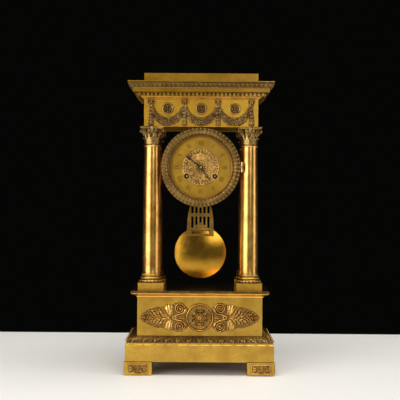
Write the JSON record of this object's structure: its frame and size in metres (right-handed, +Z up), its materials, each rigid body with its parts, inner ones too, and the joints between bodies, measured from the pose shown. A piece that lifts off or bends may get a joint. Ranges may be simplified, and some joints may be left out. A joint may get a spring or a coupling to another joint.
{
  "type": "portico clock",
  "caption": "Gilt-bronze portico clock: columns on a stepped pedestal carry an entablature with a hanging drum movement, opening bezel and a gridiron pendulum.",
  "frame": {"origin": "centre of the foot plane, on the surface the clock stands on", "axes": "+Z up, the dial faces -Y, +X is to the right of someone who looks at the dial"},
  "size_m": [0.2334, 0.1474, 0.4695],
  "materials": {
    "gilt_bronze": "cast and chased, fire-gilt, matt ground with burnished edges",
    "polished_gilt": "burnished gilding",
    "dial_gilt": "fine matt gilding",
    "brass": "turned brass",
    "steel": "polished steel",
    "blued_steel": "blued steel",
    "bell_metal": "turned bell metal",
    "glass": "clear convex glass"
  },
  "bodies": {
    "root": {"feet": "gilt_bronze", "lower_plinth": "gilt_bronze", "base_leaf_moulding": "gilt_bronze", "pedestal_die": "gilt_bronze", "pedestal_mount": "gilt_bronze", "pedestal_top": "polished_gilt", "column_bases": "gilt_bronze", "column_shaft_front_left": "gilt_bronze", "column_shaft_front_right": "gilt_bronze", "column_shaft_rear_left": "gilt_bronze", "column_shaft_rear_right": "gilt_bronze", "capital_front_left": "gilt_bronze", "capital_front_right": "gilt_bronze", "capital_rear_left": "gilt_bronze", "capital_rear_right": "gilt_bronze", "tie_rods": "steel", "entablature_frieze": "gilt_bronze", "frieze_swags": "gilt_bronze", "frieze_rosettes": "gilt_bronze", "dentil_moulding": "gilt_bronze", "cornice": "gilt_bronze", "attic_block": "gilt_bronze", "drum_hanger": "brass", "drum_case": "brass", "dial": "dial_gilt", "dial_centre": "dial_gilt", "front_plate": "brass", "back_plate": "brass", "pillars": "brass", "movement_straps": "steel", "strap_screws": "steel", "suspension_cock": "brass", "bell": "bell_metal", "bell_stand": "steel"},
    "bezel": {"bezel_ring": "gilt_bronze", "sight_ring": "gilt_bronze", "bezel_glass": "glass"},
    "cover": {"rear_cover": "gilt_bronze"},
    "minute": {"centre_wheel": "brass", "cannon_pinion": "steel", "minute_hand": "blued_steel"},
    "minute_work": {"minute_wheel": "brass"},
    "hour": {"hour_wheel": "brass", "hour_hand": "blued_steel"},
    "intermediate": {"intermediate_wheel": "brass"},
    "third": {"third_wheel": "brass"},
    "escape": {"escape_wheel": "brass"},
    "going_drive": {"going_barrel": "brass"},
    "going_wind": {"going_winding_arbor": "steel"},
    "strike_wind": {"strike_winding_arbor": "steel"},
    "strike_second": {"strike_second_wheel": "brass", "count_wheel": "brass"},
    "strike_drive": {"strike_barrel": "brass"},
    "strike_pins": {"pin_wheel": "brass"},
    "hammer_body": {"hammer": "steel"},
    "anchor": {"anchor_and_crutch": "steel"},
    "pendulum": {"pendulum_rod": "steel", "pendulum_grid": "gilt_bronze", "pendulum_bob": "polished_gilt", "rating_nut": "brass"}
  },
  "joints": [
    {"name": "bezel_open", "type": "hinge", "parent": "root", "child": "bezel", "pos_m": [0.0646, -0.0474, 0.3225], "axis": [0, 0, 1], "range_deg": [0, 110]},
    {"name": "cover_open", "type": "hinge", "parent": "root", "child": "cover", "pos_m": [0.0585, 0.0322, 0.3225], "axis": [0, 0, -1], "range_deg": [0, 90]},
    {"name": "minute_turn", "type": "hinge", "parent": "root", "child": "minute", "pos_m": [0, 0, 0.3225], "axis": [0, 1, 0], "continuous": true},
    {"name": "minute_work_turn", "type": "hinge", "parent": "root", "child": "minute_work", "pos_m": [0, 0, 0.3321], "axis": [0, 1, 0], "continuous": true},
    {"name": "hour_turn", "type": "hinge", "parent": "root", "child": "hour", "pos_m": [0, 0, 0.3225], "axis": [0, 1, 0], "continuous": true},
    {"name": "intermediate_turn", "type": "hinge", "parent": "root", "child": "intermediate", "pos_m": [0.01407, 0, 0.32803], "axis": [0, 1, 0], "continuous": true},
    {"name": "going_barrel_turn", "type": "hinge", "parent": "root", "child": "going_drive", "pos_m": [0.0223, 0, 0.3081], "axis": [0, 1, 0], "continuous": true},
    {"name": "third_turn", "type": "hinge", "parent": "root", "child": "third", "pos_m": [-0.00417, 0, 0.3355], "axis": [0, 1, 0], "continuous": true},
    {"name": "escape_turn", "type": "hinge", "parent": "root", "child": "escape", "pos_m": [0, 0, 0.3446], "axis": [0, 1, 0], "continuous": true},
    {"name": "going_wind_turn", "type": "hinge", "parent": "root", "child": "going_wind", "pos_m": [0.0223, 0, 0.3081], "axis": [0, 1, 0], "range_deg": [0, 1980]},
    {"name": "strike_wind_turn", "type": "hinge", "parent": "root", "child": "strike_wind", "pos_m": [-0.0223, 0, 0.3081], "axis": [0, 1, 0], "range_deg": [0, 1980]},
    {"name": "strike_turn", "type": "hinge", "parent": "root", "child": "strike_second", "pos_m": [-0.0223, 0, 0.32966], "axis": [0, 1, 0], "continuous": true},
    {"name": "strike_barrel_turn", "type": "hinge", "parent": "root", "child": "strike_drive", "pos_m": [-0.0223, 0, 0.3081], "axis": [0, 1, 0], "continuous": true},
    {"name": "pin_wheel_turn", "type": "hinge", "parent": "root", "child": "strike_pins", "pos_m": [-0.01737, 0, 0.34319], "axis": [0, 1, 0], "continuous": true},
    {"name": "hammer_lift", "type": "hinge", "parent": "root", "child": "hammer_body", "pos_m": [-0.028, 0, 0.3495], "axis": [0, 1, 0], "range_deg": [0, 12]},
    {"name": "pendulum_swing", "type": "hinge", "parent": "root", "child": "pendulum", "pos_m": [0, 0.008, 0.3576], "axis": [0, 1, 0], "range_deg": [-4, 4]},
    {"name": "anchor_rock", "type": "hinge", "parent": "root", "child": "anchor", "pos_m": [0, 0.001, 0.3576], "axis": [0, 1, 0], "range_deg": [-4, 4]}
  ],
  "couplings": [
    {"joint": "minute_work_turn", "follows": "minute_turn", "ratio": -0.33333},
    {"joint": "hour_turn", "follows": "minute_turn", "ratio": 0.083333},
    {"joint": "intermediate_turn", "follows": "minute_turn", "ratio": -0.16667},
    {"joint": "going_barrel_turn", "follows": "minute_turn", "ratio": 0.027778},
    {"joint": "third_turn", "follows": "minute_turn", "ratio": -12},
    {"joint": "escape_turn", "follows": "minute_turn", "ratio": 120},
    {"joint": "strike_barrel_turn", "follows": "strike_turn", "ratio": -0.16667},
    {"joint": "pin_wheel_turn", "follows": "strike_turn", "ratio": -9},
    {"joint": "anchor_rock", "follows": "pendulum_swing", "ratio": 1}
  ]
}
